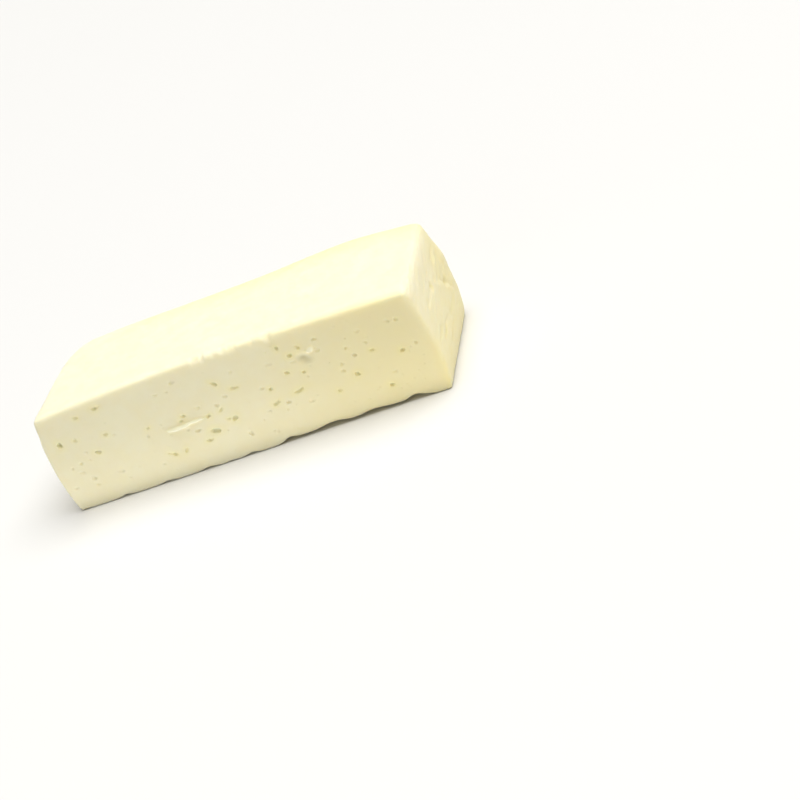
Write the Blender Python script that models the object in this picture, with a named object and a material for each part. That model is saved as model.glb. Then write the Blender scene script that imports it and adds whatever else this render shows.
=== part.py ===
"""A bar of coalho cheese: the end piece of a pressed block, wire-cut along its length.

Metres, +Z up. The bar lies on its flat base, with its box centred on the origin.
The cut face looks along -Y. The two ends, the top and the back keep the mould's
skin, which swells and has rounded corners. One solid, one object.
"""
import math
import random

import bpy
import bmesh
from mathutils import Matrix, Vector, noise

MM = 0.001

# Main sizes, measured between the corners.
BAR_LENGTH = 180 * MM
BAR_DEPTH = 71 * MM
BAR_HEIGHT = 48.7 * MM

# How the pressed skin swells between its edges. The belly sits low.
END_BULGE = 2.7 * MM
BACK_BULGE = 2.0 * MM
BELLY_SAG = 0.72

# The top is crowned: along the cut edge, and in a hump near the back right corner.
FRONT_CROWN = 2.9 * MM
FRONT_CROWN_SKEW = 0.85
BACK_CROWN = 1.0 * MM
BACK_HUMP = 2.1 * MM
BACK_HUMP_PLACE = 0.79
BACK_HUMP_WIDTH = 0.17
SKIN_WAVE = 0.35 * MM

# Corners in plan, as reach along the bar and reach across it.
CUT_CORNER = (1.2 * MM, 1.2 * MM)
BACK_RIGHT_CORNER = (6 * MM, 5 * MM)
BACK_LEFT_CORNER = (13 * MM, 24 * MM)

# Radius of the long edges, where the wire cut and where the mould pressed.
CUT_ARRIS = 0.9 * MM
SKIN_ARRIS = 2.2 * MM

# The cut face's lower edge is scalloped, and worn round towards the right.
WORN_EDGE = 3.2 * MM
WORN_FROM = 0.52
WORN_TO = 0.96
SCALLOP = 0.8 * MM
SCALLOP_LENGTH = 17 * MM

# Spacing of the mesh's points, and steps up the wall and round an edge.
CUT_STEP = 4.2 * MM
SKIN_STEP = 5.5 * MM
TOP_STEP = 9 * MM
WALL_STEPS = 8
ARRIS_STEPS = 3

# The eyes that stand out on the cut face, in millimetres and degrees: place
# along the bar, height above the base, width, height, and rise towards the right.
MARKED_EYES = (
    (-83, 33.8, 3.0, 3.4, 0),
    (-68.5, 25, 3.6, 2.2, -10),
    (-59.2, 45, 4.0, 2.0, 8),
    (-60.8, 31.8, 2.8, 1.8, -10),
    (-36.8, 12.4, 4.4, 1.6, -28),
    (-30.6, 12, 2.8, 1.6, 60),
    (-24.3, 28.1, 2.4, 1.7, 0),
    (-26.5, 25.9, 2.4, 1.5, 10),
    (-18.7, 13.1, 3.2, 1.8, 0),
    (-14, 16.5, 4.8, 2.9, -15),
    (-14, 24.3, 2.8, 2.2, 25),
    (-7.2, 25.3, 2.9, 1.6, 35),
    (-4.6, 37.8, 3.7, 2.1, -45),
    (-3.6, 19.3, 3.6, 2.6, 30),
    (2.8, 32.9, 4.1, 1.9, -4),
    (16.8, 19.7, 3.6, 2.1, 14),
    (27.6, 31.4, 2.7, 1.7, -12),
    (28.3, 43.6, 2.3, 2.2, 0),
    (28.9, 21.8, 4.8, 1.6, 7),
    (32.3, 38.7, 3.0, 2.0, 10),
    (55.5, 20.4, 2.8, 2.4, 20),
    (67.4, 10.5, 2.4, 2.0, 0),
    (78.1, 24.2, 2.7, 1.8, 0),
)
EYE_DEPTH = 0.85

# Smaller eyes gather round these places: along, up, how many, how far they spread.
EYE_GROUPS = (
    (-80, 18, 6, 7),
    (-74, 12, 3, 8),
    (-72, 38, 2, 6),
    (-42, 27, 4, 9),
    (-16, 27, 6, 11),
    (20, 25, 7, 10),
    (36, 36, 4, 8),
    (46, 38, 2, 6),
    (54, 26, 5, 7),
    (75, 31, 5, 9),
    (58, 11, 4, 9),
)
EYE_WIDTHS = (1.5, 2.5)
EYE_FLATNESS = (0.6, 0.95)
EYE_TILTS = (-30, 15)
EYE_GAP = 0.6
EYE_MARGIN = 3.5
EYE_SEED = 11

# One wide, shallow dish, laid out as an eye is, and its depth.
DISH = (38.5, 35.2, 5.2, 4.0, -25)
DISH_DEPTH = 1.2 * MM

# Cheese smeared flat on the cut face: along, up, length, width, how proud, rise.
SMEARS = (
    (-26, 23.4, 18, 1.9, 0.9, 0),
    (41.9, 38.7, 2.4, 1.3, 0.5, 20),
)
SMEAR_TAPER = 0.35

# Creases pressed into the right end: across the bar, up, length, width, rise
# towards the back. The last is a short pit.
END_CREASES = (
    (-12, 32.2, 24, 1.9, 2),
    (8, 30, 12, 1.8, -31),
    (24, 21, 10, 1.8, -31),
    (-23, 22, 15, 1.7, 10),
    (-10, 17, 18, 1.8, 10),
    (12, 13, 16, 1.7, 12),
    (4, 22.5, 14, 1.7, 11),
    (22, 35, 12, 1.7, 13),
    (16.8, 24.6, 5, 3.0, 13),
)
CREASE_DEPTH = 0.6 * MM

# Edges bent more than this stay crisp in the shading.
SHARP_ANGLE = math.radians(40)

CUT_FACE = -BAR_DEPTH / 2
CHEESE_COLOUR = (0.87, 0.80, 0.56, 1.0)
CHEESE_ROUGHNESS = 0.45


def clear_scene():
    for old in list(bpy.data.objects):
        bpy.data.objects.remove(old)


def smooth_step(low, high, value):
    share = min(1, max(0, (value - low) / (high - low)))
    return share * share * (3 - 2 * share)


def share_along(x):
    """0 at the left end's corners, 1 at the right end's."""
    return min(1, max(0, x / BAR_LENGTH + 0.5))


def share_across(y):
    """0 on the cut face, 1 at the back."""
    return min(1, max(0, y / BAR_DEPTH + 0.5))


def skin_share(y):
    """0 on the cut face, and 1 from a few millimetres behind it."""
    return smooth_step(0, 6 * MM, y - CUT_FACE)


def wear(x):
    """How much rounder the cut face's lower edge is at x than a clean cut."""
    along = share_along(x)
    worn = smooth_step(WORN_FROM, WORN_FROM + 0.1, along)
    worn *= 1 - smooth_step(WORN_TO - 0.08, WORN_TO, along)
    wave = math.sin(math.pi * x / SCALLOP_LENGTH + 1.3 * math.sin(x / (23 * MM)))
    return WORN_EDGE * worn + SCALLOP * (1 - abs(wave))


def upper_radius(y):
    return CUT_ARRIS + (SKIN_ARRIS - CUT_ARRIS) * skin_share(y)


def lower_radius(x, y):
    return upper_radius(y) + wear(x) * (1 - skin_share(y))


def crown(x, y):
    """How far the top rises above its corners."""
    along, across = share_along(x), share_across(y)
    front = FRONT_CROWN * math.sin(math.pi * along ** FRONT_CROWN_SKEW)
    hump = math.exp(-((along - BACK_HUMP_PLACE) / BACK_HUMP_WIDTH) ** 2)
    back = BACK_CROWN * smooth_step(0, 0.2, min(along, 1 - along)) + BACK_HUMP * hump
    wave = SKIN_WAVE * noise.noise(Vector((x, y, 0)) / (26 * MM))
    return front * (1 - across) + back * across + wave * math.sin(math.pi * across)


def belly(rise):
    """The swell's share at this share of the height."""
    return math.sin(math.pi * min(1, max(0, rise)) ** BELLY_SAG)


def swell(place, outward, rise):
    """How far the wall stands out of the plan here. The cut face stays flat."""
    end = END_BULGE * outward.x ** 2
    back = BACK_BULGE * max(0, outward.y) ** 2
    return (end + back) * belly(rise)


def straight(start, end, outward, spacing):
    """Evenly spaced points from start to end, both included."""
    start, end = Vector(start), Vector(end)
    count = max(2, round((end - start).length / spacing))
    return [(start.lerp(end, step / count), Vector(outward)) for step in range(count + 1)]


def corner(centre, reach, start_degrees, steps):
    """The inner points of a quarter ellipse, anticlockwise, with their outward directions."""
    points = []
    for step in range(1, steps):
        angle = math.radians(start_degrees + 90 * step / steps)
        x, y = reach[0] * math.cos(angle), reach[1] * math.sin(angle)
        outward = Vector((x / reach[0] ** 2, y / reach[1] ** 2)).normalized()
        points.append((Vector((centre[0] + x, centre[1] + y)), outward))
    return points


def plan_outline():
    """The bar seen from above, anticlockwise from the cut face's left end."""
    length, depth = BAR_LENGTH / 2, BAR_DEPTH / 2
    cut, right, left = CUT_CORNER, BACK_RIGHT_CORNER, BACK_LEFT_CORNER
    outline = straight((cut[0] - length, -depth), (length - cut[0], -depth), (0, -1), CUT_STEP)
    outline += corner((length - cut[0], cut[1] - depth), cut, -90, 3)
    outline += straight((length, cut[1] - depth), (length, depth - right[1]), (1, 0), SKIN_STEP)
    outline += corner((length - right[0], depth - right[1]), right, 0, 4)
    outline += straight((length - right[0], depth), (left[0] - length, depth), (0, 1), SKIN_STEP)
    outline += corner((left[0] - length, depth - left[1]), left, 90, 7)
    outline += straight((-length, depth - left[1]), (-length, cut[1] - depth), (-1, 0), SKIN_STEP)
    outline += corner((cut[0] - length, cut[1] - depth), cut, 180, 3)
    return outline


def wall_profile(lower, upper):
    """Inset and height up the wall: the lower edge's arc, the wall, the upper edge's arc."""
    arc = [math.radians(90 * step / ARRIS_STEPS) for step in range(ARRIS_STEPS + 1)]
    rise = BAR_HEIGHT - lower - upper
    profile = [(lower * (1 - math.sin(turn)), lower * (1 - math.cos(turn))) for turn in arc]
    profile += [(0, lower + rise * step / WALL_STEPS) for step in range(1, WALL_STEPS)]
    profile += [(upper * (1 - math.cos(turn)), BAR_HEIGHT - upper * (1 - math.sin(turn))) for turn in arc]
    return profile


def wall_column(place, outward):
    """The wall's points above one point of the plan, from the base to the top."""
    column = []
    for inset, height in wall_profile(lower_radius(*place), upper_radius(place.y)):
        flat = place + outward * (swell(place, outward, height / BAR_HEIGHT) - inset)
        column.append(Vector((flat.x, flat.y, height)))
    return column


def slice_face(mesh, face, axis, reach):
    """Cut a face, and the pieces it falls into, square to an axis at even steps."""
    pieces = {face}
    count = round(2 * reach / TOP_STEP)
    for step in range(1, count):
        place, normal = Vector((0, 0, 0)), Vector((0, 0, 0))
        place[axis] = reach * (2 * step / count - 1)
        normal[axis] = 1
        parts = set(pieces)
        for piece in pieces:
            parts.update(piece.edges)
            parts.update(piece.verts)
        cut = bmesh.ops.bisect_plane(
            mesh, geom=list(parts), dist=0.02 * MM, plane_co=place, plane_no=normal
        )
        pieces = {part for part in cut["geom"] if isinstance(part, bmesh.types.BMFace)}
    return pieces


def make_block():
    """The plain bar: columns of points round the plan, a flat base and a crowned top."""
    mesh = bmesh.new()
    columns = [[mesh.verts.new(point) for point in wall_column(*spot)] for spot in plan_outline()]
    for here, beyond in zip(columns, columns[1:] + columns[:1]):
        for level in range(len(here) - 1):
            mesh.faces.new((here[level], beyond[level], beyond[level + 1], here[level + 1]))
    mesh.faces.new([column[0] for column in reversed(columns)])
    top = mesh.faces.new([column[-1] for column in columns])
    for strip in slice_face(mesh, top, 0, BAR_LENGTH / 2):
        slice_face(mesh, strip, 1, BAR_DEPTH / 2)
    for point in mesh.verts:
        point.co.z += crown(point.co.x, point.co.y) * smooth_step(0.3, 1, point.co.z / BAR_HEIGHT)
    return finish_mesh(mesh, "coalho_cheese_bar")


def finish_mesh(mesh, name):
    bmesh.ops.recalc_face_normals(mesh, faces=mesh.faces)
    data = bpy.data.meshes.new(name)
    mesh.to_mesh(data)
    mesh.free()
    data.shade_smooth()
    data.set_sharp_from_angle(angle=SHARP_ANGLE)
    piece = bpy.data.objects.new(name, data)
    bpy.context.scene.collection.objects.link(piece)
    return piece


def turn_on_face(degrees):
    """A turn in the plane of the cut face, lifting the right-hand end."""
    return Matrix.Rotation(math.radians(-degrees), 4, "Y")


def add_pebble(mesh, place, size, turn, subdivisions=2, taper=0):
    """An ellipsoid of this size at this place, narrower towards +X by the taper."""
    made = bmesh.ops.create_icosphere(mesh, subdivisions=subdivisions, radius=0.5)["verts"]
    for point in made:
        narrow = 1 - taper * (point.co.x + 0.5)
        point.co *= Vector(size) * Vector((1, narrow, narrow))
    bmesh.ops.transform(mesh, matrix=Matrix.Translation(place) @ turn, verts=made)


def scattered_eyes():
    """The small eyes: seeded places in each group, kept clear of the eyes already there."""
    chance = random.Random(EYE_SEED)
    taken = list(MARKED_EYES) + [DISH]
    taken += [(along, up, length * 1.05, width, 0) for along, up, length, width, *_ in SMEARS]
    eyes = []
    for along, up, wanted, spread in EYE_GROUPS:
        placed = 0
        while placed < wanted:
            width = chance.uniform(*EYE_WIDTHS)
            eye = (
                along + chance.gauss(0, spread * 0.6),
                up + chance.gauss(0, spread * 0.6),
                width,
                width * chance.uniform(*EYE_FLATNESS),
                chance.uniform(*EYE_TILTS),
            )
            if on_cut_face(eye) and all(clear_of(eye, other) for other in taken):
                taken.append(eye)
                eyes.append(eye)
                placed += 1
    return eyes


def on_cut_face(eye):
    half_length, height = BAR_LENGTH / MM / 2, BAR_HEIGHT / MM
    margin = EYE_MARGIN + wear(eye[0] * MM) / MM
    return abs(eye[0]) < half_length - EYE_MARGIN and margin < eye[1] < height - EYE_MARGIN


def clear_of(eye, other):
    """Whether two eyes, taken as boxes of their own width, keep the gap."""
    reach = (max(eye[2:4]) + other[2]) / 2 + EYE_GAP
    lift = (max(eye[2:4]) + max(other[3], other[2] if other[2] < 6 else 0)) / 2 + EYE_GAP
    return abs(eye[0] - other[0]) > reach or abs(eye[1] - other[1]) > lift


def make_eyes():
    """Cutters for the holes in the cut face, each an ellipsoid centred on it."""
    mesh = bmesh.new()
    for along, up, width, height, tilt in list(MARKED_EYES) + scattered_eyes():
        size = (width * MM, 2 * EYE_DEPTH * min(width, height) * MM, height * MM)
        add_pebble(mesh, (along * MM, CUT_FACE, up * MM), size, turn_on_face(tilt))
    along, up, width, height, tilt = DISH
    size = (width * MM, 2 * DISH_DEPTH, height * MM)
    add_pebble(mesh, (along * MM, CUT_FACE, up * MM), size, turn_on_face(tilt), subdivisions=3)
    return finish_mesh(mesh, "eye_cutters")


def make_creases():
    """Cutters for the creases in the right end, each a long ellipsoid grazing the skin."""
    mesh = bmesh.new()
    for across, up, length, width, tilt in END_CREASES:
        skin = BAR_LENGTH / 2 + END_BULGE * belly(up * MM / BAR_HEIGHT)
        turn = Matrix.Rotation(math.radians(tilt), 4, "X") @ Matrix.Rotation(math.pi / 2, 4, "Z")
        size = (length * MM, 2 * CREASE_DEPTH, width * MM)
        add_pebble(mesh, (skin, across * MM, up * MM), size, turn, subdivisions=3)
    return finish_mesh(mesh, "crease_cutters")


def make_smears():
    """Smears of cheese on the cut face, half sunk into it."""
    mesh = bmesh.new()
    for along, up, length, width, proud, tilt in SMEARS:
        size = (length * MM, 2 * proud * MM, width * MM)
        place = (along * MM, CUT_FACE, up * MM)
        add_pebble(mesh, place, size, turn_on_face(tilt), subdivisions=3, taper=SMEAR_TAPER)
    return finish_mesh(mesh, "smears")


def combine(block, tool, operation):
    """Fuse or cut the bar with a tool. The tool's own shapes keep clear of each other."""
    tool.hide_render = True
    tool.display_type = "WIRE"
    step = block.modifiers.new(tool.name, "BOOLEAN")
    step.operation = operation
    step.solver = "EXACT"
    step.object = tool


def centre_in_plan(block, tools):
    """Move the bar and its tools so that the finished bar's box is centred on the origin."""
    bpy.context.view_layer.update()
    finished = block.evaluated_get(bpy.context.evaluated_depsgraph_get())
    corners = [Vector(box_corner) for box_corner in finished.bound_box]
    for axis in (0, 1):
        low = min(box_corner[axis] for box_corner in corners)
        high = max(box_corner[axis] for box_corner in corners)
        for piece in [block] + tools:
            piece.location[axis] = -(low + high) / 2


def make_material():
    material = bpy.data.materials.new("fresh_cheese")
    material.use_nodes = True
    shader = material.node_tree.nodes["Principled BSDF"]
    shader.inputs["Base Color"].default_value = CHEESE_COLOUR
    shader.inputs["Roughness"].default_value = CHEESE_ROUGHNESS
    shader.inputs["Metallic"].default_value = 0
    shader.inputs["Subsurface Weight"].default_value = 0.3
    shader.inputs["Subsurface Radius"].default_value = (4 * MM, 3 * MM, 2 * MM)
    return material


def build():
    clear_scene()
    block = make_block()
    creases, smears, eyes = make_creases(), make_smears(), make_eyes()
    combine(block, creases, "DIFFERENCE")
    combine(block, smears, "UNION")
    combine(block, eyes, "DIFFERENCE")
    centre_in_plan(block, [creases, smears, eyes])
    block.data.materials.append(make_material())


build()
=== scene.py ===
import bpy
import bmesh
import math
import random
import numpy as np
from mathutils import Matrix, Vector, noise


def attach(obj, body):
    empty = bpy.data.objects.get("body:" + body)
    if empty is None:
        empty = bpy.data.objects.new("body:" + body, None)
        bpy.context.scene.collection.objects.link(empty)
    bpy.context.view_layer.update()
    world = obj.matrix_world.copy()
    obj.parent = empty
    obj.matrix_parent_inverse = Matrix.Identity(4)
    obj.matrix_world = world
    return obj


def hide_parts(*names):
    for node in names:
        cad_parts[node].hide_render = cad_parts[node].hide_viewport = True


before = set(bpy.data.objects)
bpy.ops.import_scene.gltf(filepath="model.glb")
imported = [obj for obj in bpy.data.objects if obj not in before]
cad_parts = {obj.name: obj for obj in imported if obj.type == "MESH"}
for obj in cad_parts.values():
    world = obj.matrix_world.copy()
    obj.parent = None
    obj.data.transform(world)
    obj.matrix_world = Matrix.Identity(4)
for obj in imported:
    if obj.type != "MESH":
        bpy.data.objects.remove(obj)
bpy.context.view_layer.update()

mm = 0.001


# camera

cameraSettings = {
    "place": (0.31385, -0.76089, 0.35917),
    "lookAt": (0.05225, 0.00780, -0.01903),
    "roll": -26.624,    # degrees, the frame's right side dips
    "lens": 90,
    "sees": (0.01, 50),    # nearest and farthest
}


def placeCamera(look):
    camera = bpy.data.objects.new("camera", bpy.data.cameras.new("camera"))
    bpy.context.scene.collection.objects.link(camera)
    camera.data.lens = look["lens"]
    camera.data.clip_start, camera.data.clip_end = look["sees"]
    place = Vector(look["place"])
    level = (Vector(look["lookAt"]) - place).to_track_quat("-Z", "Y").to_matrix()
    turned = level @ Matrix.Rotation(math.radians(look["roll"]), 3, "Z")
    camera.matrix_world = Matrix.Translation(place) @ turned.to_4x4()
    bpy.context.scene.camera = camera


placeCamera(cameraSettings)
print("camera placed")


# small helpers for work by selection

def pickOnly(*pieces):
    if bpy.context.mode != "OBJECT":
        bpy.ops.object.mode_set(mode="OBJECT")
    bpy.ops.object.select_all(action="DESELECT")
    for piece in pieces:
        piece.select_set(True)
    bpy.context.view_layer.objects.active = pieces[0]


def pickEdges(piece, test):
    mesh = bmesh.from_edit_mesh(piece.data)
    for edge in mesh.edges:
        edge.select_set(False)
    for edge in mesh.edges:
        if test(edge.verts[0].co, edge.verts[1].co):
            edge.select_set(True)
    bmesh.update_edit_mesh(piece.data)


def applyModifier(piece, kind, **values):
    pickOnly(piece)
    step = piece.modifiers.new(kind.lower(), kind)
    for name, value in values.items():
        setattr(step, name, value)
    bpy.ops.object.modifier_apply(modifier=step.name)


def voxelRemesh(piece, size):
    pickOnly(piece)
    piece.data.remesh_voxel_size = size
    piece.data.remesh_voxel_adaptivity = 0
    bpy.ops.object.voxel_remesh()


def readPoints(piece):
    points = np.empty(len(piece.data.vertices) * 3)
    piece.data.vertices.foreach_get("co", points)
    return points.reshape(-1, 3)


def writePoints(piece, points):
    piece.data.vertices.foreach_set("co", points.ravel())
    piece.data.update()


def smoothStep(low, high, value):
    share = np.clip((value - low) / (high - low), 0, 1)
    return share * share * (3 - 2 * share)


def weigh(piece, name, weights, steps):
    # a vertex group, with its weights rounded to so many steps
    group = piece.vertex_groups.new(name=name)
    levels = np.round(np.clip(weights, 0, 1) * steps).astype(int)
    for level in range(1, steps + 1):
        group.add(np.nonzero(levels == level)[0].tolist(), level / steps, "REPLACE")


# the bar's plain form, as the mould and the wire left it

barForm = {
    "length": 180 * mm, "depth": 71 * mm, "height": 48.7 * mm,
    "shift": (0, -0.624 * mm, 0),              # centres the finished bar's box
    # how far each upright corner is rounded, and in how many steps
    "cutCorner": 1.5 * mm, "cutCornerSteps": 4,
    "backRight": 5.5 * mm, "backRightSteps": 8,
    "backLeft": (13 * mm, 24 * mm), "backLeftSteps": 14,
    # how far each rim is worn soft: a share of the widest round, which is about 6 mm
    "soft": {
        "skinTop": 1.0, "skinBottom": 0.12,
        "cutTop": 0.8, "cutBottom": 0.02, "cutLeft": 0.2, "cutRight": 0.22,
    },
    "softReach": 11 * mm, "softTurns": 90, "softPull": 0.5, "softBlend": 6, "softSteps": 50,
    "cutEdge": 0.9 * mm,
    "endBulge": 2.7 * mm, "backBulge": 2.0 * mm, "bellySag": 0.72, "bulgeHold": 8,
    "frontCrown": 2.9 * mm, "frontCrownSkew": 0.85,
    "backCrown": 1.0 * mm, "backHump": 2.1 * mm, "humpPlace": 0.79, "humpWidth": 0.17,
    "crownEnds": 0.2, "crownFoot": 0.3,        # shares of the length and the height where it fades
    "skinWave": 0.35 * mm, "waveLength": 26 * mm,
    "wear": 1.2 * mm, "wearFrom": 0.55, "wearTo": 0.97, "wearRamps": (0.1, 0.08),
    "scallop": 1.6 * mm, "scallopLength": 21 * mm, "scallopStart": -4 * mm, "scallopCurve": 1.5,
    # the scallops' mean size, how much it varies, over what length, and the row of the noise
    "scallopMean": 0.6, "scallopVaries": 0.8, "scallopDrift": 19 * mm, "scallopRow": 3.7,
    # the lower front edge is broken away to the right, and chipped in places all along:
    # place along, half width and height of each chip
    "brokenFrom": (7 * mm, 13 * mm), "brokenTo": (77 * mm, 85 * mm), "brokenLift": 0.9 * mm,
    "chips": (
        (-67 * mm, 2.4 * mm, 0.50 * mm), (-46 * mm, 3.2 * mm, 0.42 * mm),
        (-25.5 * mm, 3.4 * mm, 0.45 * mm), (-14.5 * mm, 2.0 * mm, 0.28 * mm),
        (-4 * mm, 3.0 * mm, 0.48 * mm), (14.5 * mm, 2.6 * mm, 0.9 * mm),
        (35 * mm, 6 * mm, 1.2 * mm), (53.5 * mm, 4.5 * mm, 0.9 * mm), (74 * mm, 3.6 * mm, 1.4 * mm),
    ),
    "chipDepth": 9 * mm, "chipTop": 10 * mm, "chipCurve": 2.5,
    "firstVoxel": 0.9 * mm,
}
cutFace = -barForm["depth"] / 2


def pressBlock(form):
    length, depth, height = form["length"], form["depth"], form["height"]
    atCorner = 0.45        # an upright edge stands at least so far out, as a share of the box
    bpy.ops.object.select_all(action="DESELECT")
    bpy.ops.mesh.primitive_cube_add(size=1, location=(0, 0, height / 2), scale=(length, depth, height))
    bar = bpy.context.active_object
    bar.name = "cheeseBar"
    bpy.ops.object.transform_apply(location=True, rotation=False, scale=True)
    bpy.ops.object.mode_set(mode="EDIT")
    bpy.ops.mesh.select_mode(type="EDGE")

    def upright(sideX, sideY):
        def test(a, b):
            standing = abs(a.z - b.z) > height / 2
            return standing and a.x * sideX > length * atCorner and a.y * sideY > depth * atCorner
        return test

    # the back left corner is pressed long and round
    reachX, reachY = form["backLeft"]
    pickEdges(bar, upright(-1, 1))
    bpy.ops.mesh.bevel(offset=reachX, segments=form["backLeftSteps"], affect="EDGES")
    bpy.ops.transform.resize(value=(1, reachY / reachX, 1), center_override=(-length / 2, depth / 2, 0))
    pickEdges(bar, upright(1, 1))
    bpy.ops.mesh.bevel(offset=form["backRight"], segments=form["backRightSteps"], affect="EDGES")
    for side in (-1, 1):
        pickEdges(bar, upright(side, -1))
        bpy.ops.mesh.bevel(offset=form["cutCorner"], segments=form["cutCornerSteps"], affect="EDGES")
    bpy.ops.object.mode_set(mode="OBJECT")

    voxelRemesh(bar, form["firstVoxel"])
    return bar


def softenRims(bar, form):
    # the rims are worn wide and round on the skin, and narrow on the cut
    x, y, z = readPoints(bar).T
    reach = form["softReach"]
    toTop, toCut, toSide = form["height"] - z, y + form["depth"] / 2, form["length"] / 2 - np.abs(x)
    atTop, atCut, onSkin = toTop < reach, toCut < reach, toCut > reach / 2
    atEnd = (toSide < reach) & atCut & (toTop > reach / 2)
    weights = np.zeros(len(x))
    # where two rims meet, the later one counts
    for key, near in (
        ("skinTop", atTop & onSkin), ("skinBottom", (z < reach) & onSkin),
        ("cutRight", atEnd & (x > 0)), ("cutLeft", atEnd & (x < 0)),
        ("cutTop", atTop & atCut), ("cutBottom", (z < reach / 2) & atCut),
    ):
        weights = np.where(near, form["soft"][key], weights)
    weigh(bar, "rims", weights, form["softSteps"])
    pickOnly(bar)
    bpy.ops.object.mode_set(mode="EDIT")
    bpy.ops.mesh.select_all(action="SELECT")
    # no step between one rim and the next
    bpy.ops.object.vertex_group_smooth(
        group_select_mode="ACTIVE", factor=form["softPull"], repeat=form["softBlend"], expand=0)
    bpy.ops.object.mode_set(mode="OBJECT")
    applyModifier(bar, "SMOOTH", factor=form["softPull"], iterations=form["softTurns"], vertex_group="rims")
    bar.vertex_groups.clear()
    points = readPoints(bar)
    points[:, 2] -= points[:, 2].min()
    writePoints(bar, points)


def crown(form, x, y):
    # how far the top rises above its corners
    along = np.clip(x / form["length"] + 0.5, 0, 1)
    across = np.clip(y / form["depth"] + 0.5, 0, 1)
    front = form["frontCrown"] * np.sin(math.pi * along ** form["frontCrownSkew"])
    hump = np.exp(-((along - form["humpPlace"]) / form["humpWidth"]) ** 2)
    back = form["backCrown"] * smoothStep(0, form["crownEnds"], np.minimum(along, 1 - along))
    back += form["backHump"] * hump
    wave = [noise.noise(Vector((px, py, 0)) / form["waveLength"]) for px, py in zip(x, y)]
    return front * (1 - across) + back * across + form["skinWave"] * np.array(wave) * np.sin(math.pi * across)


def letItSwell(bar, form):
    # the pressed sides bulge low down, the cut face stays flat, and the top is crowned
    points = readPoints(bar)
    x, y, z = points.T.copy()
    rise = np.clip(z / form["height"], 0, 1)
    belly = np.sin(math.pi * rise ** form["bellySag"])
    toEnd = np.abs(x) / (form["length"] / 2)
    toBack = np.clip(y / form["depth"] + 0.5, 0, 1)
    points[:, 0] += np.sign(x) * form["endBulge"] * belly * toEnd ** form["bulgeHold"]
    points[:, 1] += form["backBulge"] * belly * toBack ** form["bulgeHold"]
    points[:, 2] += crown(form, points[:, 0], points[:, 1]) * smoothStep(form["crownFoot"], 1, rise)
    writePoints(bar, points)


def wearLowerEdge(bar, form):
    # the cut face's lower edge is scalloped by handling, and rubbed round to the right
    points = readPoints(bar)
    x, y, z = points.T
    along = x / form["length"] + 0.5
    rampUp, rampDown = form["wearRamps"]
    worn = smoothStep(form["wearFrom"], form["wearFrom"] + rampUp, along)
    worn *= 1 - smoothStep(form["wearTo"] - rampDown, form["wearTo"], along)
    cusps = 1 - np.abs(np.sin(math.pi * (x - form["scallopStart"]) / form["scallopLength"]))
    drift = [noise.noise(Vector((px / form["scallopDrift"], form["scallopRow"], 0))) for px in x]
    uneven = form["scallopMean"] + form["scallopVaries"] * np.array(drift)
    radius = form["cutEdge"] + form["wear"] * worn + form["scallop"] * uneven * cusps ** form["scallopCurve"]
    inward, upward = radius - (y - cutFace), radius - z
    reach = np.hypot(inward, upward)
    rub = (inward > 0) & (upward > 0) & (reach > radius)
    tiny = 1e-9
    pull = np.where(rub, radius / np.maximum(reach, tiny), 1)
    newY = np.where(rub, cutFace + radius - inward * pull, y)
    newZ = np.where(rub, radius - upward * pull, z)
    # then the edge is lifted where cheese has broken away
    lift = form["brokenLift"] * smoothStep(*form["brokenFrom"], x) * (1 - smoothStep(*form["brokenTo"], x))
    for place, halfWidth, height in form["chips"]:
        lift += height * np.exp(-np.abs((x - place) / halfWidth) ** form["chipCurve"])
    inwardShare = 1 - smoothStep(0, form["chipDepth"], y - cutFace)
    points[:, 1] = newY
    points[:, 2] = newZ + lift * inwardShare * (1 - smoothStep(0, form["chipTop"], newZ))
    writePoints(bar, points)


bar = pressBlock(barForm)
softenRims(bar, barForm)
letItSwell(bar, barForm)
wearLowerEdge(bar, barForm)
print("block pressed and swollen,", len(bar.data.vertices), "points")


# eyes in the cut face: place along, height, width, height of the eye, rise to the right,
# all in millimetres and degrees; an eye of two lobes has two rows

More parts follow.
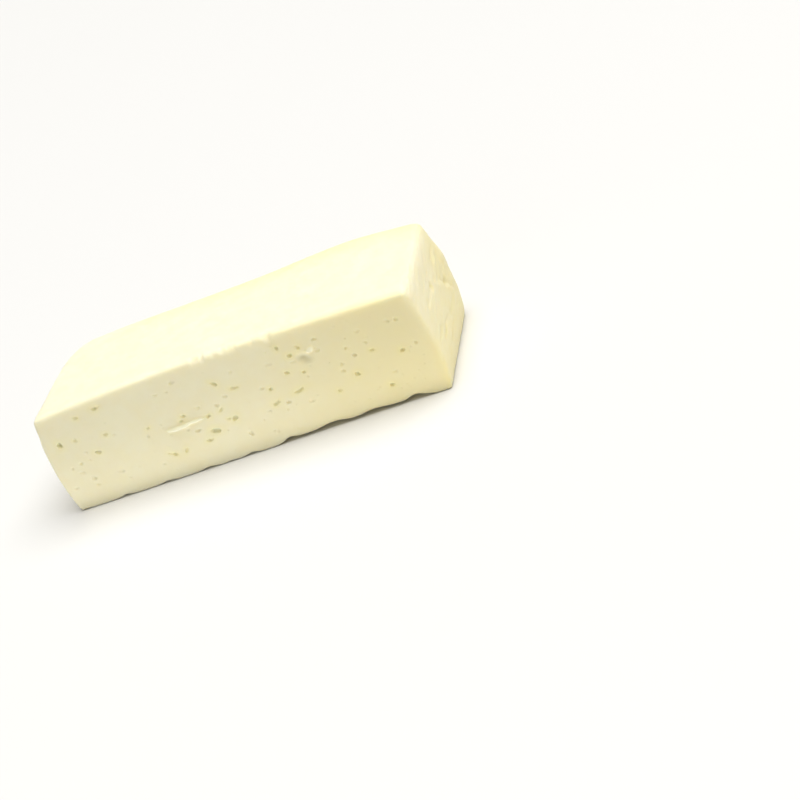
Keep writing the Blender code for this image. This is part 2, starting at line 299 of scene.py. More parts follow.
eyeSettings = {
    "deep": (
        (-83, 33.8, 2.7, 3.1, 0), (-75.1, 33.6, 2.1, 1.5, -12), (-69.6, 43.8, 2.5, 1.6, -5),
        (-68.4, 25, 3.3, 2.1, -10), (-59.5, 45.1, 3.2, 1.9, 5), (-57.5, 45.4, 1.9, 1.2, 15),
        (-60.8, 31.9, 2.7, 1.8, -10), (-41.6, 28.1, 2.0, 1.4, 0), (-38.2, 13, 2.3, 1.2, -18),
        (-36.4, 12.1, 2.8, 1.8, -30), (-30.6, 12.1, 2.8, 1.6, 60), (-24.4, 28.1, 2.3, 1.8, 0),
        (-26.3, 26, 2.5, 1.6, 10), (-18.8, 13.1, 3.0, 1.8, 0), (-17.3, 13.3, 1.6, 1.0, 20),
        (-14.1, 16.6, 4.7, 2.9, -10), (-14, 24.3, 2.7, 2.1, 25),
        (-7.2, 25.3, 2.8, 1.6, 35), (-4.7, 37.8, 3.5, 2.0, -50), (-3.3, 19.3, 3.1, 2.5, 35),
        (-5.9, 19.9, 2.3, 1.2, -15), (2.2, 33, 2.6, 1.7, -4), (4, 32.8, 2.0, 1.3, 0),
        (16.2, 19.4, 2.5, 1.8, 10), (17.9, 20, 2.2, 1.7, 20), (17.4, 26.6, 2.1, 2.0, 0),
        (27.6, 31.5, 2.5, 1.7, -12), (28.3, 43.7, 2.1, 2.1, 20), (28.9, 21.9, 5.2, 1.8, 10),
        (32.1, 38.7, 2.8, 2.0, 8), (37.2, 40.7, 2.0, 1.6, 35),
        (34.4, 29.3, 2.0, 1.6, 0), (45.2, 15.8, 2.0, 1.6, -10), (55.6, 20.5, 2.6, 2.3, 20),
        (66.1, 28.8, 2.6, 1.5, -8), (67.4, 10.5, 2.3, 1.9, 0), (78, 24.2, 2.6, 1.9, 5),
    ),
    "soft": (
        (-57.2, 30.5, 2.2, 1.3, -10), (-73.6, 26.6, 1.9, 1.4, 0), (-78.4, 22.2, 2.2, 1.6, -10),
        (-83.4, 21.3, 1.9, 1.5, 0), (-80, 17.9, 3.4, 1.5, -5), (-73.8, 22.6, 1.5, 1.2, 0),
        (-76.3, 13.5, 2.5, 2.0, 0), (-76.1, 10, 2.0, 1.5, 0), (-86.6, 11.6, 2.5, 1.6, 10),
        (-63.3, 12.7, 2.9, 1.6, -20), (-60.9, 8.1, 1.7, 1.4, 0), (-54.3, 12.1, 1.5, 1.2, 0),
        (-21.7, 44.7, 2.9, 1.9, 0), (-31.2, 41.7, 2.7, 1.5, -5), (-26.1, 41.3, 1.6, 1.3, 0),
        (-43.4, 24.1, 1.7, 1.6, 0), (-35.3, 26, 1.5, 1.1, 0), (-25.1, 21.3, 1.9, 1.3, 20),
        (-21.3, 19.3, 2.7, 1.9, 0), (-16.5, 29.6, 2.6, 1.7, 0), (-8.1, 27.8, 2.1, 1.9, 0),
        (-2.7, 30.6, 2.1, 1.7, 0), (4.8, 40.3, 2.0, 1.5, 20), (-39, 4.6, 1.2, 1.0, 0),
        (-43, 9.2, 1.8, 1.3, 0), (0, 9.9, 2.1, 2.5, 20), (10.9, 6.7, 2.6, 2.1, 0),
        (14.1, 28.4, 2.2, 1.6, 0), (21.9, 37.8, 2.6, 1.4, -10), (32.4, 35.2, 2.7, 1.3, 0),
        (35.3, 26.7, 1.4, 1.3, 0), (21.9, 18.4, 2.3, 1.9, 0), (12.3, 17.1, 2.0, 1.4, 0),
        (31.8, 15.4, 2.8, 1.6, 0), (20.9, 5, 1.8, 1.1, 0), (45.1, 42.1, 2.6, 1.9, 20),
        (44.2, 36.9, 2.4, 1.7, 30), (77.3, 38.8, 2.3, 1.7, 0), (80.8, 38.5, 2.3, 2.0, 0),
        (63.8, 39.1, 2.8, 1.9, 10), (65, 33.1, 2.3, 1.5, -30), (84.8, 25.6, 1.7, 1.7, 0),
        (58, 29.2, 2.2, 2.1, 0), (56.1, 33.5, 2.0, 1.7, 0), (51.3, 27.1, 2.1, 1.6, 0),
        (50.6, 23.8, 2.3, 1.5, 0), (71, 15.9, 2.3, 1.4, 0), (61, 10.9, 2.2, 1.3, 20),
        (55.2, 7.6, 1.6, 1.2, 0), (74.4, 7.3, 1.5, 1.1, 0), (55.2, 44.6, 1.6, 1.1, 0),
    ),
    # how far in an eye's lump reaches, and how far it stands off the face, as shares of its height
    "deepShare": 0.52, "deepOff": 0.05,
    "softShare": 0.53, "softOff": 0.23, "softGrow": 1.22,
    "unevenness": 0.16,
    "pinholes": 90, "pinholeWidth": (0.45 * mm, 0.95 * mm), "pinholeShare": 0.6,
    "pinholeAlong": (-86, 86), "pinholeUp": (4, 46), "pinholeFlatness": (0.6, 1), "pinholeRise": (-30, 20),
    "roundness": 3,
    "voxel": 0.2 * mm,
    "seed": 7,
}


# what makes each lump uneven in its own way
pebbleNoise = {"fineness": 2.6, "farthest": 50}


def growMaster(name, subdivisions):
    bpy.ops.object.select_all(action="DESELECT")
    bpy.ops.mesh.primitive_ico_sphere_add(subdivisions=subdivisions, radius=0.5, location=(0, 0, 0))
    master = bpy.context.active_object
    master.name = name
    return master


def tiltOnFace(points, rise):
    # turned in the plane of the cut face, by degrees of rise to the right
    turn = np.array(Matrix.Rotation(math.radians(-rise), 3, "Y"))
    return points @ turn.T


def copyPebble(master, place, size, rise, unevenness, chance):
    # one lump, made uneven, stretched, turned in the plane of the cut face and put in place
    pebble = master.copy()
    pebble.data = master.data.copy()
    bpy.context.scene.collection.objects.link(pebble)
    points = readPoints(pebble)
    offset = Vector([chance.uniform(0, pebbleNoise["farthest"]) for _ in range(3)])
    lumps = np.array([noise.noise(Vector(point) * pebbleNoise["fineness"] + offset) for point in points])
    points *= 1 + 2 * unevenness * lumps[:, None]
    points *= np.array(size)
    writePoints(pebble, tiltOnFace(points, rise) + np.array(place))
    return pebble


def joinPieces(pieces, name):
    pickOnly(*pieces)
    bpy.ops.object.join()
    joined = bpy.context.active_object
    joined.name = name
    return joined


def makeEyes(eyes):
    chance = random.Random(eyes["seed"])
    master = growMaster("eyeMaster", eyes["roundness"])
    lumps = []
    for kind in ("deep", "soft"):
        share, off = eyes[kind + "Share"], eyes[kind + "Off"]
        grow = eyes["softGrow"] if kind == "soft" else 1
        for along, up, width, height, rise in eyes[kind]:
            size = (width * grow * mm, 2 * share * height * mm, height * grow * mm)
            place = (along * mm, cutFace - off * height * mm, up * mm)
            lumps.append(copyPebble(master, place, size, rise, eyes["unevenness"], chance))
    for _ in range(eyes["pinholes"]):
        width = chance.uniform(*eyes["pinholeWidth"])
        along, up = chance.uniform(*eyes["pinholeAlong"]), chance.uniform(*eyes["pinholeUp"])
        place = (along * mm, cutFace, up * mm)
        size = (width, 2 * eyes["pinholeShare"] * width, width * chance.uniform(*eyes["pinholeFlatness"]))
        rise = chance.uniform(*eyes["pinholeRise"])
        lumps.append(copyPebble(master, place, size, rise, eyes["unevenness"], chance))
    cutter = joinPieces(lumps, "eyeCutter")
    voxelRemesh(cutter, eyes["voxel"])
    bpy.data.objects.remove(master)
    return cutter


def carve(bar, tool, operation):
    applyModifier(bar, "BOOLEAN", operation=operation, solver="MANIFOLD", object=tool)
    bpy.data.objects.remove(tool)


# slivers of cheese that the wire dragged up and left lying on the cut

sliverSettings = {
    "slivers": (
        # place along, height, length, width, how proud, rise, in millimetres and degrees
        (-28.8, 23.7, 12.2, 1.8, 1.5, 1),
        (-20.8, 24.3, 9.8, 1.2, 1.1, 0),
        (41.3, 38.5, 4.0, 2.6, 0.9, 25),
    ),
    "wedge": 0.75,         # more proud at the lower edge than the upper
    "unevenness": 0.10,
    "roundness": 5,
    "voxel": 0.15 * mm,
    "seed": 3,
}


def dragSlivers(slivers):
    chance = random.Random(slivers["seed"])
    master = growMaster("sliverMaster", slivers["roundness"])
    lumps = []
    for along, up, length, width, proud, rise in slivers["slivers"]:
        size = (length * mm, 2 * proud * mm, width * mm)
        place = (along * mm, cutFace, up * mm)
        lump = copyPebble(master, (0, 0, 0), size, 0, slivers["unevenness"], chance)
        points = readPoints(lump)
        points[:, 1] *= 1 - 2 * slivers["wedge"] * points[:, 2] / size[2]
        writePoints(lump, tiltOnFace(points, rise) + np.array(place))
        lumps.append(lump)
    heap = joinPieces(lumps, "slivers")
    voxelRemesh(heap, slivers["voxel"])
    bpy.data.objects.remove(master)
    return heap


carve(bar, dragSlivers(sliverSettings), "UNION")
carve(bar, makeEyes(eyeSettings), "DIFFERENCE")
print("eyes cut,", len(bar.data.vertices), "points")


# the fine surface: one even skin over everything, then relief

skinSettings = {
    "voxel": 0.4 * mm,
    "smoothTurns": 3, "smoothPull": 0.5,
    # the length of each kind of relief, its strength, and how many octaves it has
    "waveScale": 9 * mm, "wave": 0.28 * mm, "waveOctaves": 2,
    "dimpleScale": 2.6 * mm, "dimple": 0.10 * mm, "dimpleOctaves": 2,
    "cutScale": 1.6 * mm, "cut": 0.06 * mm, "cutOctaves": 4,
    "streakScale": (3 * mm, 15 * mm, 2.0 * mm), "streakRise": 13, "streak": 1.1 * mm, "streakOctaves": 3,
    "triangles": 188000,
}

# how far each kind of relief reaches, from a face or an edge
reliefPlaces = {
    "steps": 20,
    "offBase": (0.2 * mm, 3 * mm),
    "cut": 2.5 * mm,
    # the eyes' walls: in from the ends, behind the cut face, above the base, below the top
    "eyes": (1.5 * mm, 4 * mm, 2 * mm, 1 * mm),
    "skin": 8 * mm,
    "rightEnd": 3 * mm, "offRims": 5 * mm,
    "toBack": (22 * mm, 34 * mm), "backLoss": 0.75,     # the end's streaks are weaker at the back
}

# creases pressed into the right end: from and to, as across and up, width, depth, step,
# in millimetres
creaseSettings = {
    "creases": (
        ((-24.5, 31.4), (-1.5, 33.2), 1.4, 0.42, 0.1),
        ((3, 32.8), (14, 26.2), 1.5, 0.45, 0.2),
        ((14, 26.2), (26, 18.3), 1.5, 0.5, 0.2),
        ((-31, 19.3), (-16, 20.8), 1.0, 0.7, 0.1),
        ((-21.5, 16), (-3, 18), 1.0, 0.8, 0.1),
        ((2, 14.5), (20, 17), 1.0, 0.7, 0.1),
        ((12, 37), (27, 40), 1.4, 0.28, 0.05),
        ((-14, 9), (6, 12), 1.1, 0.6, 0.1),
    ),
    # across, up, radius, depth
    "pits": ((17.2, 24.4, 1.9, 1.3), (24.5, 33.5, 3.2, 0.5), (3.8, 16.4, 1.6, 0.6), (-4, 33.4, 1.5, 0.8)),
    "lumps": ((27, 21, 2.2, 0.6), (5.5, 29.6, 3.5, 0.4), (31, 31, 5.5, 0.85)),
    "reach": 6 * mm,                    # how far in from the end the skin gives
    "taper": 0.25, "endDepth": 0.35,    # the share of a crease that tapers, and its depth at the tip
    "stepReach": 3,                     # in widths of the crease
    # no crease runs straight
    "wander": 1.3 * mm, "wanderLength": 7 * mm, "wanderOffset": (7, 3, 5),
}


# a wide shallow dish in the cut face, with a rim that slopes away;
# its place, size and depth are in millimetres, and its rise in degrees
dishForm = {"place": (37.1, 35.5), "size": (2.9, 2.0), "rise": -25, "depth": 1.5, "fade": (3 * mm, 6 * mm)}

# small bites out of the top front edge, where the wire left it ragged
nickSettings = {
    "count": 15, "from": -14 * mm, "to": 27 * mm,
    "width": (0.7 * mm, 1.7 * mm), "depth": (0.4 * mm, 1.0 * mm), "most": 1.2 * mm,
    "reach": 2.6 * mm, "slant": (0.5, -0.85),     # how far from the edge, and the way it is pushed
    "seed": 21,
}

# dents and specks that the press left in the back and the left end
markSettings = {
    "kinds": (
        # radius, depth, how many on the back and on the left end
        ((0.6 * mm, 1.0 * mm), (0.15 * mm, 0.40 * mm), (26, 9)),
        ((1.5 * mm, 2.8 * mm), (0.15 * mm, 0.45 * mm), (9, 3)),
        ((6 * mm, 11 * mm), (0.2 * mm, 0.5 * mm), (5, 1)),
    ),
    "wide": 1.35,
    "sides": (5 * mm, 1 * mm),                  # where a side begins and is full, in from its face
    "along": 0.9, "up": (0.12, 0.88),           # shares of the side that can have marks
    # faint folds of the cloth across the back, in millimetres: from and to, as along and up,
    # width, depth
    "folds": (
        ((-84, 30), (-38, 31.5), 0.8, 0.22),
        ((-20, 14), (31, 11), 1.0, 0.20),
        ((38, 33), (80, 36), 0.9, 0.22),
    ),
    "foldTaper": 0.5,
    "seed": 12,
}


def creaseRightEnd(bar, form, creases):
    points = readPoints(bar)
    x, y, z = points.T
    end = smoothStep(form["length"] / 2 - creases["reach"], form["length"] / 2, x)
    offset = Vector(creases["wanderOffset"])
    wander = np.zeros((2, len(points)))
    for index in np.nonzero(end > 0)[0]:
        spot = Vector((y[index], z[index], 0)) / creases["wanderLength"]
        wander[:, index] = noise.noise(spot), noise.noise(spot + offset)
    y = y + creases["wander"] * wander[0]
    z = z + creases["wander"] * wander[1]

    push = np.zeros(len(points))
    taper, endDepth = creases["taper"], creases["endDepth"]
    for start, finish, width, depth, step in creases["creases"]:
        a, b = np.array(start) * mm, np.array(finish) * mm
        run = b - a
        reach = np.hypot(*run)
        share = np.clip(((y - a[0]) * run[0] + (z - a[1]) * run[1]) / reach ** 2, 0, 1)
        away = np.stack([y - a[0] - share * run[0], z - a[1] - share * run[1]])
        side = (run[0] * away[1] - run[1] * away[0]) / reach / mm
        distance = np.hypot(*away) / mm
        middle = smoothStep(0, taper, share) * (1 - smoothStep(1 - taper, 1, share))
        push -= depth * np.exp(-(distance / width) ** 2) * (endDepth + (1 - endDepth) * middle)
        stepShare = np.exp(-(distance / (creases["stepReach"] * width)) ** 2) * middle
        push -= step * np.tanh(side / width) * stepShare
    for way, spots in ((-1, creases["pits"]), (1, creases["lumps"])):
        for across, up, radius, height in spots:
            distance = np.hypot(y - across * mm, z - up * mm) / mm
            push += way * height * np.exp(-(distance / radius) ** 2)
    points[:, 0] += push * mm * end
    writePoints(bar, points)


def pressDish(bar, dish):
    points = readPoints(bar)
    x, y, z = points.T.copy()
    turn = math.radians(dish["rise"])
    right, above = x / mm - dish["place"][0], z / mm - dish["place"][1]
    wide = (right * math.cos(turn) + above * math.sin(turn)) / dish["size"][0]
    tall = (above * math.cos(turn) - right * math.sin(turn)) / dish["size"][1]
    nearFace = 1 - smoothStep(*dish["fade"], y - cutFace)
    points[:, 1] += dish["depth"] * mm * np.exp(-wide ** 2 - tall ** 2) * nearFace
    writePoints(bar, points)


def nickTopEdge(bar, form, nicks):
    chance = random.Random(nicks["seed"])
    points = readPoints(bar)
    x, y, z = points.T
    near = (x > nicks["from"] - nicks["reach"]) & (x < nicks["to"] + nicks["reach"])
    near = np.nonzero(near & (y < cutFace + 2 * nicks["reach"]) & (z > form["height"] - nicks["reach"]))[0]
    x, y, z = points[near].T
    edge = form["height"] + crown(form, x, np.full(len(x), cutFace))
    bite = np.zeros(len(x))
    for _ in range(nicks["count"]):
        place = chance.uniform(nicks["from"], nicks["to"])
        depth, width = chance.uniform(*nicks["depth"]), chance.uniform(*nicks["width"])
        bite += depth * np.exp(-((x - place) / width) ** 2)
    fromEdge = np.hypot(y - cutFace, edge - z)
    bite = np.minimum(bite, nicks["most"]) * np.exp(-(fromEdge / nicks["reach"]) ** 2)
    for axis, way in zip((1, 2), nicks["slant"]):
        points[near, axis] += way * bite
    writePoints(bar, points)


def pressMarks(bar, form, marks):
    # the back is seen along the bar, and the left end across it
    chance = random.Random(marks["seed"])
    points = readPoints(bar)
    x, y, z = points.T.copy()
    halfLength, halfDepth = form["length"] / 2, form["depth"] / 2
    begins, full = marks["sides"]
    back = smoothStep(halfDepth - begins, halfDepth - full, y)
    left = smoothStep(halfLength - begins, halfLength - full, -x) * (1 - back)
    # the side, its own direction, how far that reaches, the axis it is pressed along, and which way
    for number, (side, run, reach, axis, way) in enumerate(
            ((back, x, halfLength, 1, -1), (left, y, halfDepth, 0, 1))):
        push = np.zeros(len(points))
        for radii, depths, counts in marks["kinds"]:
            for _ in range(counts[number]):
                radius = chance.uniform(*radii)
                spot = chance.uniform(-marks["along"], marks["along"]) * reach
                height = chance.uniform(*marks["up"]) * form["height"]
                away = np.hypot((run - spot) / marks["wide"], z - height) / radius
                push += chance.uniform(*depths) * np.exp(-away ** 2)
        if side is back:
            for start, finish, width, depth in marks["folds"]:
                a, b = np.array(start) * mm, np.array(finish) * mm
                share = np.clip((run - a[0]) / (b[0] - a[0]), 0, 1)
                away = np.hypot(run - a[0] - share * (b[0] - a[0]), z - a[1] - share * (b[1] - a[1]))
                taper = np.sin(math.pi * share) ** marks["foldTaper"]
                push += depth * mm * np.exp(-(away / width / mm) ** 2) * taper
        points[:, axis] += way * push * side
    writePoints(bar, points)


def weighRelief(bar, form, places):
    x, y, z = readPoints(bar).T
    halfLength, behind, steps = form["length"] / 2, y - cutFace, places["steps"]
    offBase = smoothStep(*places["offBase"], z)
    fromEnds, deep, low, high = places["eyes"]
    inEyes = (np.abs(x) < halfLength - fromEnds) & (y < cutFace + deep)
    inEyes &= (z > low) & (z < form["height"] - high)
    onSkin = np.where(inEyes, 0, smoothStep(0, places["skin"], behind))
    onCut = 1 - smoothStep(0, places["cut"], behind)
    onEnd = smoothStep(halfLength - places["rightEnd"], halfLength, x)
    offRims = smoothStep(0, places["offRims"], behind)
    offRims *= 1 - places["backLoss"] * smoothStep(*places["toBack"], y)
    weigh(bar, "skin", onSkin * offBase, steps)
    weigh(bar, "cut", np.maximum(onCut, inEyes) * offBase, steps)
    weigh(bar, "rightEnd", onEnd * offRims * offBase, steps)


def pressRelief(bar, name, group, scale, strength, octaves, **values):
    texture = bpy.data.textures.new(name, "CLOUDS")
    texture.noise_scale = scale
    texture.noise_depth = octaves
    texture.noise_basis = "ORIGINAL_PERLIN"
    applyModifier(bar, "DISPLACE", texture=texture, strength=strength, mid_level=0.5,
                  vertex_group=group, **values)


def finishSkin(bar, form, skin, places):
    weighRelief(bar, form, places)
    pressRelief(bar, "skinWave", "skin", skin["waveScale"], skin["wave"], skin["waveOctaves"])
    pressRelief(bar, "skinDimple", "skin", skin["dimpleScale"], skin["dimple"], skin["dimpleOctaves"])
    pressRelief(bar, "cutGrain", "cut", skin["cutScale"], skin["cut"], skin["cutOctaves"])
    # the streaks are drawn out across the end, so their noise is stretched by a guide
    guide = bpy.data.objects.new("streakGuide", None)
    bpy.context.scene.collection.objects.link(guide)
    guide.scale = skin["streakScale"]
    guide.rotation_euler.x = math.radians(skin["streakRise"])
    bpy.context.view_layer.update()
    pressRelief(bar, "endStreak", "rightEnd", 1.0, skin["streak"], skin["streakOctaves"],
                texture_coords="OBJECT", texture_coords_object=guide)
    bpy.data.objects.remove(guide)
    print("relief pressed in,", len(bar.data.vertices), "points")


def thinOut(bar, form, triangles):
    # fewer faces, nothing below the base, and the box centred
    applyModifier(bar, "DECIMATE", ratio=triangles / (2 * len(bar.data.polygons)))
    bar.vertex_groups.clear()
    points = readPoints(bar)
    points[:, 2] = np.maximum(points[:, 2], 0)
    writePoints(bar, points + np.array(form["shift"]))
    pickOnly(bar)
    bpy.ops.object.shade_smooth()
    print("thinned to", len(bar.data.polygons), "faces")


voxelRemesh(bar, skinSettings["voxel"])
applyModifier(bar, "SMOOTH", factor=skinSettings["smoothPull"], iterations=skinSettings["smoothTurns"])
creaseRightEnd(bar, barForm, creaseSettings)
pressDish(bar, dishForm)
nickTopEdge(bar, barForm, nickSettings)
pressMarks(bar, barForm, markSettings)
finishSkin(bar, barForm, skinSettings, reliefPlaces)
thinOut(bar, barForm, skinSettings["triangles"])


# where the colour changes: in and around the eyes, with painted shade deep in the eyes, and where the cheese
# is yellower, which is painted shade to the right of the cut face, low down and towards the back, and a plain
# yellower tone on the skin and at the back of the top

ripeAndShadeSettings = {
    # yellower colour: cutMost paints shade to the right of the cut face, and skinLow and skinBack paint shade
    # low down and towards the back
    "cutMost": 0.68, "cutLow": 0.12,
    "skinBase": 0.36, "skinLow": 0.95, "lowCurve": 1.5, "skinBack": 0.80, "topBack": 0.65,
    "haloReach": 1.2,              # width of the yellow ring round an eye, in half widths of the eye
    "eyeBox": (2.5 * mm, 3.5 * mm, 1 * mm),     # in from the ends, above the base, below the top
    "dishShade": 0.4,              # the dish is less dark than an eye
    "topSkin": 0.1,                # how much of the skin's streaks and weave the top keeps
    # from where to where each share grows from none to all
    "fades": {
        # behind the cut face, and before it
        "eyeShadeDepth": (0.2 * mm, 1.2 * mm), "halo": (2 * mm, 5 * mm), "cut": (1 * mm, 5 * mm),
        "sliver": (0.15 * mm, 0.7 * mm),
        # in from the right end, along the bar, and across it
        "rightEdge": (-3 * mm, 5 * mm), "cutShadeRight": (-10 * mm, 82 * mm), "topRight": (-85 * mm, -5 * mm),
        "back": (-7.1 * mm, 35.5 * mm), "topBack": (12 * mm, 34 * mm),
        # shares of the height, and out from the middle of the dish
        "base": (0.8, 1), "top": (0.75, 1), "bareTop": (0.86, 0.98), "dish": (2 * mm, 3.2 * mm),
    },
}


def markColours(bar, form, eyes, dish, ripeAndShade):
    x, y, z = (readPoints(bar) - np.array(form["shift"])).T
    rise = np.clip(z / form["height"], 0, 1)
    behind = y - cutFace

    def grow(name, value):
        return smoothStep(*ripeAndShade["fades"][name], value)

    fromEnds, low, high = ripeAndShade["eyeBox"]
    inEyes = (np.abs(x) < form["length"] / 2 - fromEnds) & (z > low) & (z < form["height"] - high) & (y < 0)
    dishAway = np.hypot(x - dish["place"][0] * mm, z - dish["place"][1] * mm)
    # painted shade: the eyes and the dish get darker and greyer the deeper they go
    depth = np.where(inEyes, grow("eyeShadeDepth", behind), 0)
    depth *= ripeAndShade["dishShade"] + (1 - ripeAndShade["dishShade"]) * grow("dish", dishAway)

    halo = np.zeros(len(x))
    for along, up, width, height, tilt in eyes["deep"]:
        turn = math.radians(tilt)
        right, above = x - along * mm, z - up * mm
        wide = (right * math.cos(turn) + above * math.sin(turn)) / (width * mm / 2)
        tall = (above * math.cos(turn) - right * math.sin(turn)) / (height * mm / 2)
        past = np.maximum(np.hypot(wide, tall) - 1, 0) / ripeAndShade["haloReach"]
        halo = np.maximum(halo, np.exp(-past ** 2))
    halo *= 1 - grow("halo", behind)

    onCut = np.where(inEyes, 1, 1 - grow("cut", behind)) * grow("rightEdge", form["length"] / 2 - x)
    # painted shade: the cut face is yellower and darker to the right; it is also a little yellower towards
    # the bottom
    cut = ripeAndShade["cutMost"] * grow("cutShadeRight", x) + ripeAndShade["cutLow"] * (1 - rise)
    onTop = grow("top", rise)
    # the skin below the top is a little yellower all over; over that lies painted shade low down and towards
    # the back, and the top is yellower towards its back
    skin = ripeAndShade["skinBase"] * (1 - grow("base", rise)) + ripeAndShade["skinLow"] * (1 - rise) ** ripeAndShade["lowCurve"]
    skin += ripeAndShade["skinBack"] * grow("back", y) * (1 - onTop)
    skin += ripeAndShade["topBack"] * grow("topBack", y) * onTop * grow("topRight", x)
    bareTop = 1 - (1 - ripeAndShade["topSkin"]) * grow("bareTop", rise)
    for name, values in (
        ("eyeShadeDepth", depth), ("eyeHalo", halo), ("sliver", grow("sliver", -behind)),
        ("skin", (1 - onCut) * bareTop), ("ripenessAndShade", cut * onCut + skin * (1 - onCut)),
    ):
        marks = bar.data.attributes.new(name, "FLOAT", "POINT")
        marks.data.foreach_set("value", np.clip(values, 0, 1))


markColours(bar, barForm, eyeSettings, dishForm, ripeAndShadeSettings)


# the cheese itself

cheeseFinish = {
    # the ripe colour paints shade to the right of the cut face, low down and towards the back, and gives the
    # skin and the back of the top a yellower tone
    "pale": (0.930, 0.868, 0.645), "warm": (0.917, 0.847, 0.60), "ripeAndShade": (0.890, 0.795, 0.455),
    # the eye tint is painted shade for the deep parts of the eyes
    "eyeShadeTint": (0.885, 0.94, 1.0), "haloTint": (0.995, 0.99, 0.905), "sliver": (0.95, 0.885, 0.665),
    # each noise: fineness, octaves and roughness, with the range of it that is used
    "mottle": (100, 4, 0.65), "mottleRange": (0.35, 0.65),
    "streak": (1, 3, 0.6), "streakRange": (0.42, 0.66), "streakTint": (0.975, 0.965, 0.92),
    "streakTurn": (0, 13, 0), "streakStretch": (90, 90, 620),
    "gloss": (160, 3), "glossRange": (0.35, 0.65), "roughness": (0.40, 0.58),
    # relief too fine for the mesh: noise, strength and height
    "pores": ((420, 4, 0.6), 0.14, 0.4 * mm),
    "grain": ((1500, 3), 0.10, 0.15 * mm),
    "cloth": ((1, 2), 0.22, 0.3 * mm), "clothStretch": (260, 260, 1150),
    "subsurface": 1.0, "radius": (1.0, 0.94, 0.78), "scale": 2.6 * mm,
    "specular": 0.35,
}


def addNode(tree, kind, **values):
    node = tree.nodes.new(kind)
    for name, value in values.items():
        setattr(node, name, value)
    return node


def noiseNode(tree, coordinates, scale, detail, roughness=0.5):
    node = addNode(tree, "ShaderNodeTexNoise")
    node.inputs["Scale"].default_value = scale
    node.inputs["Detail"].default_value = detail
    node.inputs["Roughness"].default_value = roughness
    tree.links.new(coordinates, node.inputs["Vector"])
    return node.outputs["Fac"]


def mixColours(tree, share, first, second, blend="MIX"):
    node = addNode(tree, "ShaderNodeMix", data_type="RGBA", blend_type=blend)
    tree.links.new(share, node.inputs["Factor"])
    for socket, value in ((node.inputs[6], first), (node.inputs[7], second)):
        if isinstance(value, tuple):
            socket.default_value = (*value, 1)
        else:
            tree.links.new(value, socket)
    return node.outputs[2]


def stretchShare(tree, share, low, high, toLow=0.0, toHigh=1.0):
    node = addNode(tree, "ShaderNodeMapRange")
    tree.links.new(share, node.inputs["Value"])
    node.inputs["From Min"].default_value = low
    node.inputs["From Max"].default_value = high
    node.inputs["To Min"].default_value = toLow
    node.inputs["To Max"].default_value = toHigh
    return node.outputs["Result"]


def stretchPlace(tree, coordinates, stretch, turn=(0, 0, 0)):
    node = addNode(tree, "ShaderNodeMapping")
    node.inputs["Scale"].default_value = stretch
    node.inputs["Rotation"].default_value = [math.radians(angle) for angle in turn]
    tree.links.new(coordinates, node.inputs["Vector"])
    return node.outputs["Vector"]


def multiply(tree, first, second):
    node = addNode(tree, "ShaderNodeMath", operation="MULTIPLY")
    tree.links.new(first, node.inputs[0])
    tree.links.new(second, node.inputs[1])
    return node.outputs["Value"]


def bumpNode(tree, height, strength, distance, under=None):
    node = addNode(tree, "ShaderNodeBump")
    node.inputs["Distance"].default_value = distance
    if isinstance(strength, float):
        node.inputs["Strength"].default_value = strength
    else:
        tree.links.new(strength, node.inputs["Strength"])
    tree.links.new(height, node.inputs["Height"])
    if under is not None:
        tree.links.new(under, node.inputs["Normal"])
    return node.outputs["Normal"]


def attributeNode(tree, name):
    return addNode(tree, "ShaderNodeAttribute", attribute_name=name).outputs["Fac"]


def colourCheese(tree, place, skin, finish):
    mottle = stretchShare(tree, noiseNode(tree, place, *finish["mottle"]), *finish["mottleRange"])
    colour = mixColours(tree, mottle, finish["pale"], finish["warm"])
    streakPlace = stretchPlace(tree, place, finish["streakStretch"], finish["streakTurn"])
    streaks = stretchShare(tree, noiseNode(tree, streakPlace, *finish["streak"]), *finish["streakRange"])
    colour = mixColours(tree, multiply(tree, streaks, skin), colour, finish["streakTint"], "MULTIPLY")
    for name, tint, blend in (
        # the ripe colour lays partly painted shade and partly a plain yellower tone
        ("ripenessAndShade", "ripeAndShade", "MIX"), ("eyeHalo", "haloTint", "MULTIPLY"),
        # the eye tint lays painted shade deep in the eyes
        ("eyeShadeDepth", "eyeShadeTint", "MULTIPLY"), ("sliver", "sliver", "MIX"),
    ):
        colour = mixColours(tree, attributeNode(tree, name), colour, finish[tint], blend)
    return colour


def roughenCheese(tree, place, skin, finish):
    fineness, strength, height = finish["pores"]
    normal = bumpNode(tree, noiseNode(tree, place, *fineness), strength, height)
    fineness, strength, height = finish["grain"]
    normal = bumpNode(tree, noiseNode(tree, place, *fineness), strength, height, normal)
    # the print of the pressing cloth lies on the skin alone
    fineness, strength, height = finish["cloth"]
    weave = noiseNode(tree, stretchPlace(tree, place, finish["clothStretch"]), *fineness)
    return bumpNode(tree, weave, stretchShare(tree, skin, 0, 1, 0, strength), height, normal)


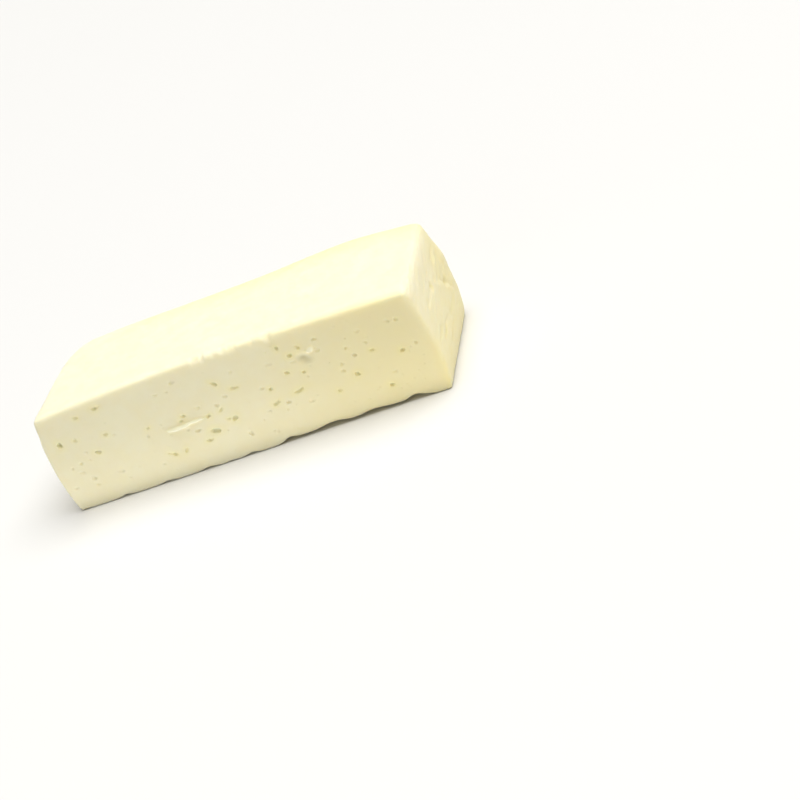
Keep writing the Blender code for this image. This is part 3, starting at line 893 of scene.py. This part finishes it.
def makeCheese(finish):
    material = bpy.data.materials.new("freshCheese")
    material.use_nodes = True
    tree = material.node_tree
    shader = tree.nodes["Principled BSDF"]
    place = addNode(tree, "ShaderNodeTexCoord").outputs["Object"]
    skin = attributeNode(tree, "skin")
    gloss = noiseNode(tree, place, *finish["gloss"])
    roughness = stretchShare(tree, gloss, *finish["glossRange"], *finish["roughness"])
    tree.links.new(colourCheese(tree, place, skin, finish), shader.inputs["Base Color"])
    tree.links.new(roughness, shader.inputs["Roughness"])
    tree.links.new(roughenCheese(tree, place, skin, finish), shader.inputs["Normal"])
    shader.inputs["Subsurface Weight"].default_value = finish["subsurface"]
    shader.inputs["Subsurface Radius"].default_value = finish["radius"]
    shader.inputs["Subsurface Scale"].default_value = finish["scale"]
    shader.inputs["Specular IOR Level"].default_value = finish["specular"]
    return material


bar.data.materials.clear()
bar.data.materials.append(makeCheese(cheeseFinish))
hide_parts("coalho_cheese_bar")
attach(bar, "root")
print("cheese finished")


# the pale floor and the soft light

studioSettings = {
    "floorSize": 16, "floor": (0.78, 0.775, 0.76), "floorRoughness": 0.6,
    "floorDrop": 0.15 * mm,                            # it lies just below the bar
    "floorNoise": (3, 2), "floorShade": 0.99,
    "world": (1.0, 0.99, 0.97), "worldStrength": 0.15,
    "lights": (
        # name, where it shines from, spread in degrees, strength, colour
        ("softSky", (0.24, 0.09, 1.0), 64, 3.78, (1.0, 0.995, 0.98)),
        ("frontFill", (-0.45, -1.0, 0.04), 60, 0.55, (1.0, 0.995, 0.98)),
    ),
    # a white card lies before the cut face and throws light up at its foot
    "card": {"size": (0.25, 0.024), "place": (-0.005, -0.054, 1.0 * mm), "power": 0.0125},
}


def layFloor(studio):
    bpy.ops.object.select_all(action="DESELECT")
    bpy.ops.mesh.primitive_plane_add(size=studio["floorSize"], location=(0, 0, -studio["floorDrop"]))
    floor = bpy.context.active_object
    floor.name = "paleFloor"
    material = bpy.data.materials.new("palePaper")
    material.use_nodes = True
    tree = material.node_tree
    shader = tree.nodes["Principled BSDF"]
    place = addNode(tree, "ShaderNodeTexCoord").outputs["Object"]
    shade = tuple(channel * studio["floorShade"] for channel in studio["floor"])
    colour = mixColours(tree, noiseNode(tree, place, *studio["floorNoise"]), studio["floor"], shade)
    tree.links.new(colour, shader.inputs["Base Color"])
    shader.inputs["Roughness"].default_value = studio["floorRoughness"]
    floor.data.materials.append(material)


def hangLight(name, kind, energy):
    light = bpy.data.lights.new(name, kind)
    light.energy = energy
    lamp = bpy.data.objects.new(name, light)
    bpy.context.scene.collection.objects.link(lamp)
    return lamp


def lightStudio(studio):
    for name, source, spread, strength, colour in studio["lights"]:
        lamp = hangLight(name, "SUN", strength)
        lamp.data.angle = math.radians(spread)
        lamp.data.color = colour
        lamp.rotation_euler = (-Vector(source)).to_track_quat("-Z", "Y").to_euler()
    card = studio["card"]
    lamp = hangLight("card", "AREA", card["power"])
    lamp.data.shape = "RECTANGLE"
    lamp.data.size, lamp.data.size_y = card["size"]
    lamp.location = card["place"]
    lamp.rotation_euler = (math.pi, 0, 0)
    lamp.visible_camera = False
    world = bpy.data.worlds.new("studio")
    bpy.context.scene.world = world
    world.use_nodes = True
    air = world.node_tree.nodes["Background"]
    air.inputs["Color"].default_value = (*studio["world"], 1)
    air.inputs["Strength"].default_value = studio["worldStrength"]


layFloor(studioSettings)
lightStudio(studioSettings)
bpy.context.scene.view_settings.view_transform = "Standard"
print("floor and lights ready")
